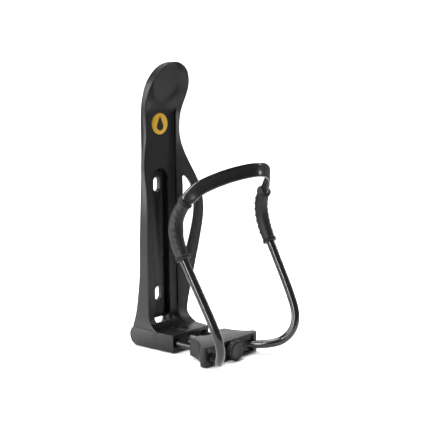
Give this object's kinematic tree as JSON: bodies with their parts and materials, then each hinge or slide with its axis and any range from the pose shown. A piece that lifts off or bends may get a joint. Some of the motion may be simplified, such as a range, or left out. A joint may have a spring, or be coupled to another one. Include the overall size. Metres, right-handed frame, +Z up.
{
  "type": "adjustable water bottle cage",
  "caption": "Bicycle water bottle cage with a moulded backplate, a tubular loop on a sliding carriage and a knob that adjusts it to the bottle",
  "frame": {"origin": "Middle of the flat mounting face behind the backplate, halfway between the two bolt slots", "axes": "+Z up along the frame tube, +Y from the bottle towards the frame tube, +X to the right of a viewer who faces the cage"},
  "size_m": [0.0784, 0.0857, 0.1613],
  "materials": {
    "moulded_black": "satin",
    "badge_yellow": "printed, slightly glossy",
    "tube_black": "gloss black coating on aluminium tube",
    "sleeve_rubber": "matte",
    "dark_steel": "dark oxide",
    "bright_steel": "zinc plated"
  },
  "bodies": {
    "backplate": {"backplate": "moulded_black", "badge": "badge_yellow", "drive_nut": "bright_steel"},
    "carriage": {"carriage_housing": "moulded_black", "carriage_cover": "moulded_black", "cover_screw_left": "dark_steel", "cover_screw_right": "dark_steel", "guide_rod_left": "dark_steel", "guide_rod_right": "dark_steel", "rod_clip_left": "dark_steel", "rod_clip_right": "dark_steel", "thrust_washer": "bright_steel", "cage_tube": "tube_black", "sleeve_left": "sleeve_rubber", "sleeve_right": "sleeve_rubber"},
    "knob": {"knob": "moulded_black", "adjusting_screw": "bright_steel", "screw_clip": "dark_steel"}
  },
  "joints": [
    {"name": "carriage_slide", "type": "slide", "parent": "backplate", "child": "carriage", "axis": [0, -1, 0], "range_m": [-0.007, 0.013]},
    {"name": "knob_turn", "type": "hinge", "parent": "carriage", "child": "knob", "pos_m": [0, -0.062, -0.0545], "axis": [0, -1, 0], "range_deg": [-3600, 6686]}
  ],
  "couplings": [
    {"joint": "knob_turn", "follows": "carriage_slide", "rad_per_m": 8976}
  ]
}
